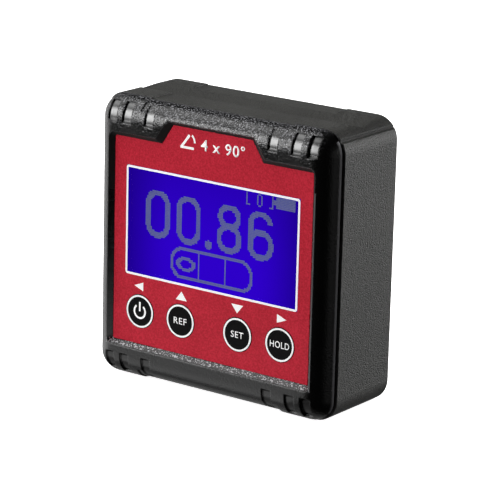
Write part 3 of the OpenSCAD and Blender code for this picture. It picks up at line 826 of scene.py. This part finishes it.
def printed_word(text, width, height, weight, x, y, z):
    letters = bpy.data.curves.new("letters", "FONT")
    letters.body = text
    letters.align_x = "CENTER"
    letters.align_y = "CENTER"
    letters.offset = weight
    letters.space_character = LETTER_SPACE
    letters.resolution_u = LETTER_STEPS
    holder = bpy.data.objects.new("letters", letters)
    bpy.context.scene.collection.objects.link(holder)
    word = frozen_copy(holder)
    bmesh.ops.remove_doubles(word, verts=word.verts, dist=LETTER_MERGE)
    fit(word, width, height)
    bmesh.ops.transform(word, matrix=flat_place(x, y, z), verts=word.verts)
    pull_out(word)
    return word


for name, text, width in words:
    word = printed_word(text, width, WORD_HEIGHT, 0.0, *key_face(name))
    keep_piece(word, name + "_word", white_ink_with_painted_glow, name)

# %% [markdown]
# The power sign is an open ring with a bar through its gap. A short edge spun round the middle makes the
# ring.

# %% Print the power sign
SIGN_RADIUS = 1.42 * MM
SIGN_STROKE = 0.4 * MM
SIGN_GAP = radians(76)
SIGN_STEPS = 40
SIGN_BAR_Z = 1.05 * MM
SIGN_BAR_LENGTH = 2.0 * MM


def arc_band(drawing, radius, stroke, start, sweep, steps):
    ends = [drawing.verts.new((cos(start) * reach, sin(start) * reach, 0))
            for reach in (radius - stroke / 2, radius + stroke / 2)]
    edge = drawing.edges.new(ends)
    bmesh.ops.spin(drawing, geom=ends + [edge], cent=(0, 0, 0), axis=(0, 0, 1), angle=sweep, steps=steps)


def bar(drawing, x, y, width, height, turn=0.0):
    place = (Matrix.Translation((x, y, 0)) @ Matrix.Rotation(turn, 4, "Z")
             @ Matrix.Diagonal((width, height, 1, 1)))
    bmesh.ops.create_grid(drawing, x_segments=1, y_segments=1, size=0.5, matrix=place)


sign = bmesh.new()
arc_band(sign, SIGN_RADIUS, SIGN_STROKE, pi / 2 + SIGN_GAP / 2, 2 * pi - SIGN_GAP, SIGN_STEPS)
bar(sign, 0, SIGN_BAR_Z, SIGN_STROKE, SIGN_BAR_LENGTH)
bmesh.ops.transform(sign, matrix=flat_place(*key_face("power_key")), verts=sign.verts)
pull_out(sign)
keep_piece(sign, "power_key_sign", white_ink_with_painted_glow, "power_key")

# %% [markdown]
# Over each key a small white arrow points left, up, down or right. A circle of three segments is a
# triangle, turned to its direction and scaled to its width and height.

# %% Print the arrows over the keys
ARROW_RISE = 5.4 * MM
arrows = [("power_key", "left", pi, 2.3, 1.85, -0.4), ("reference_key", "up", pi / 2, 2.8, 1.85, 0.15),
          ("set_key", "down", -pi / 2, 2.9, 1.8, -0.2), ("hold_key", "right", 0, 2.3, 1.8, 0.3)]

for name, direction, turn, width, height, shift in arrows:
    arrow = bmesh.new()
    bmesh.ops.create_circle(arrow, cap_ends=True, segments=3, radius=1,
                            matrix=Matrix.Rotation(turn - pi / 2, 4, "Z"))
    fit(arrow, width * MM, height * MM)
    spot = key_face(name)
    bmesh.ops.transform(arrow, matrix=flat_place(spot.x + shift * MM, label_low.y, spot.z + ARROW_RISE),
                        verts=arrow.verts)
    pull_out(arrow)
    keep_piece(arrow, direction + "_arrow", white_ink_with_painted_glow, "case")

# %% [markdown]
# The label's tab carries a plain mark of what the gauge measures: an angle between two lines and the range,
# four quarter turns. Two bars and an arc make the angle, and the range is a word like those on the keys.

# %% Print the mark on the tab
TAB_Z = label_high.z - 2.9 * MM
MARK_X = -6.4 * MM
MARK_STROKE = 0.5 * MM
MARK_ANGLE = radians(52)
MARK_ARC, MARK_ARC_STROKE, MARK_ARC_STEPS = 1.9 * MM, 0.4 * MM, 12
RANGE_X, RANGE_WIDTH, RANGE_HEIGHT, RANGE_WEIGHT = 2.6 * MM, 11 * MM, 2.5 * MM, 0.012

mark = bmesh.new()
bar(mark, 0.0, -1.2 * MM, 3.4 * MM, MARK_STROKE)
bar(mark, -0.45 * MM, 0.15 * MM, 3.3 * MM, MARK_STROKE, MARK_ANGLE)
arc_band(mark, MARK_ARC, MARK_ARC_STROKE, 0, MARK_ANGLE, MARK_ARC_STEPS)
bmesh.ops.transform(mark, matrix=flat_place(MARK_X, label_low.y, TAB_Z), verts=mark.verts)
pull_out(mark)
keep_piece(mark, "angle_mark", white_ink_with_painted_glow, "case")

word = printed_word("4 x 90°", RANGE_WIDTH, RANGE_HEIGHT, RANGE_WEIGHT, RANGE_X, label_low.y, TAB_Z)
keep_piece(word, "range_mark", white_ink_with_painted_glow, "case")

# %% [markdown]
# The gauge stands on a plain pale floor, which glows a little so that it stays as white as a studio's
# paper. In a studio the paper ends close to the object, so black plastic doesn't mirror much of it. That is
# why the floor is left out of reflections and scattered light, and a small card gives back what little
# there is.

# %% Lay the floor
FLOOR_SIZE = 3
FLOOR_DROP = 0.05 * MM

floor_drawing = bmesh.new()
bmesh.ops.create_grid(floor_drawing, x_segments=1, y_segments=1, size=FLOOR_SIZE)
bmesh.ops.translate(floor_drawing, verts=floor_drawing.verts, vec=(0, 0, cad_box[0][2] - FLOOR_DROP))
floor_paper, place = start_finish("floor_paper", Roughness=0.9, Specular_IOR_Level=0.1, Emission_Strength=0.9,
                                  Emission_Color=(1, 1, 1, 1))
feed(floor_paper, Base_Color=place.grain(40).mix_colour((0.90, 0.90, 0.90, 1), (0.93, 0.93, 0.93, 1)))
floor = link_mesh(floor_drawing, "floor")
floor.data.materials.append(floor_paper)
floor.visible_diffuse = False
floor.visible_glossy = False
floor.visible_shadow = False
print("floor at", round(floor.data.vertices[0].co.z / MM, 3), "mm")

# %% [markdown]
# Black plastic shows mostly what it mirrors, so the lights are wide. The front softbox draws the highlight
# along the round top edge, and the top one lights the grains behind it. The overhead and right ones only
# brighten matt surfaces, such as the label and the housing, and stay out of the gloss. The card on the
# floor shows only in the gloss of the lower bezel, and the back softbox lights the far edges.

# %% Light the gauge
CARD_X, CARD_Y = -0.022, -0.036
CARD_RISE = 0.2 * MM


def softbox(name, place, aim, long_axis, width, height, power, in_gloss=True, in_diffuse=True):
    data = bpy.data.lights.new(name, "AREA")
    data.shape = "RECTANGLE"
    data.size, data.size_y = width, height
    data.energy = power
    lamp = bpy.data.objects.new(name, data)
    away = (Vector(place) - Vector(aim)).normalized()
    side = Vector(long_axis).cross(away).normalized()
    lamp.matrix_world = (Matrix.Translation(place)
                         @ Matrix((side, away.cross(side), away)).transposed().to_4x4())
    lamp.visible_camera = False
    lamp.visible_glossy = in_gloss
    lamp.visible_diffuse = in_diffuse
    bpy.context.scene.collection.objects.link(lamp)
    print(name, power, "W")


subject = (0, 0, middle_z)
softbox("front_softbox", (-0.40, -0.53, 0.26), subject, (0, 0.4, 0.75), 0.14, 0.42, 3.95)
softbox("top_softbox", (-0.40, -0.11, 0.60), subject, (0, 0.9, 0.1), 0.3, 0.4, 1.5)
softbox("overhead_softbox", (0.1, 0.25, 0.7), subject, (1, 0, 0), 0.5, 0.4, 6.0, in_gloss=False)
softbox("right_softbox", (0.60, 0.16, 0.42), subject, (0, 0, 1), 0.4, 0.4, 2.0, in_gloss=False)
softbox("bounce_card", (CARD_X, CARD_Y, body_low.z + CARD_RISE), (CARD_X, CARD_Y, 1), (1, 0, 0),
        0.045, 0.08, 0.016, in_diffuse=False)
softbox("back_softbox", (0.50, 0.62, 0.13), subject, (0, 0, 1), 0.4, 0.3, 2.8)

# %% [markdown]
# A studio isn't black round the lights: the table and the walls reflect some of it. The world stands for
# them, with a soft patch of glow for each, found by the direction of a ray. The camera itself sees plain
# white.

# %% Surround the gauge with a studio
TABLE_GLOW, BACK_GLOW, RIGHT_GLOW, LEFT_GLOW, ROOM_GLOW = 0.4, 0.52, 0.35, 1.5, 0.015

world = bpy.data.worlds.new("studio")
world.use_nodes = True
sky = Shade(world.node_tree, world.node_tree.nodes.new("ShaderNodeTexCoord").outputs["Generated"])
seen = sky.node("ShaderNodeLightPath")
to_right, to_back, to_top = (sky.axis(index) for index in range(3))
table = (to_right * -0.6 - to_top * 0.8).soft_step(0.55, 0.85)
back_wall = to_back.soft_step(0.45, 0.75) * to_top.soft_step(0.45, -0.2) * to_top.soft_step(-0.6, -0.3)
right_wall = to_right.soft_step(0.9, 0.98)
left_wall = to_right.soft_step(-0.8, -0.97)
glow = (table * TABLE_GLOW + back_wall * BACK_GLOW + right_wall * RIGHT_GLOW + left_wall * LEFT_GLOW
        + ROOM_GLOW) * (1 - seen) + seen
world.node_tree.links.new(glow.socket, world.node_tree.nodes["Background"].inputs["Color"])
bpy.context.scene.world = world
print("the studio glows from the table and three walls")

# %% [markdown]
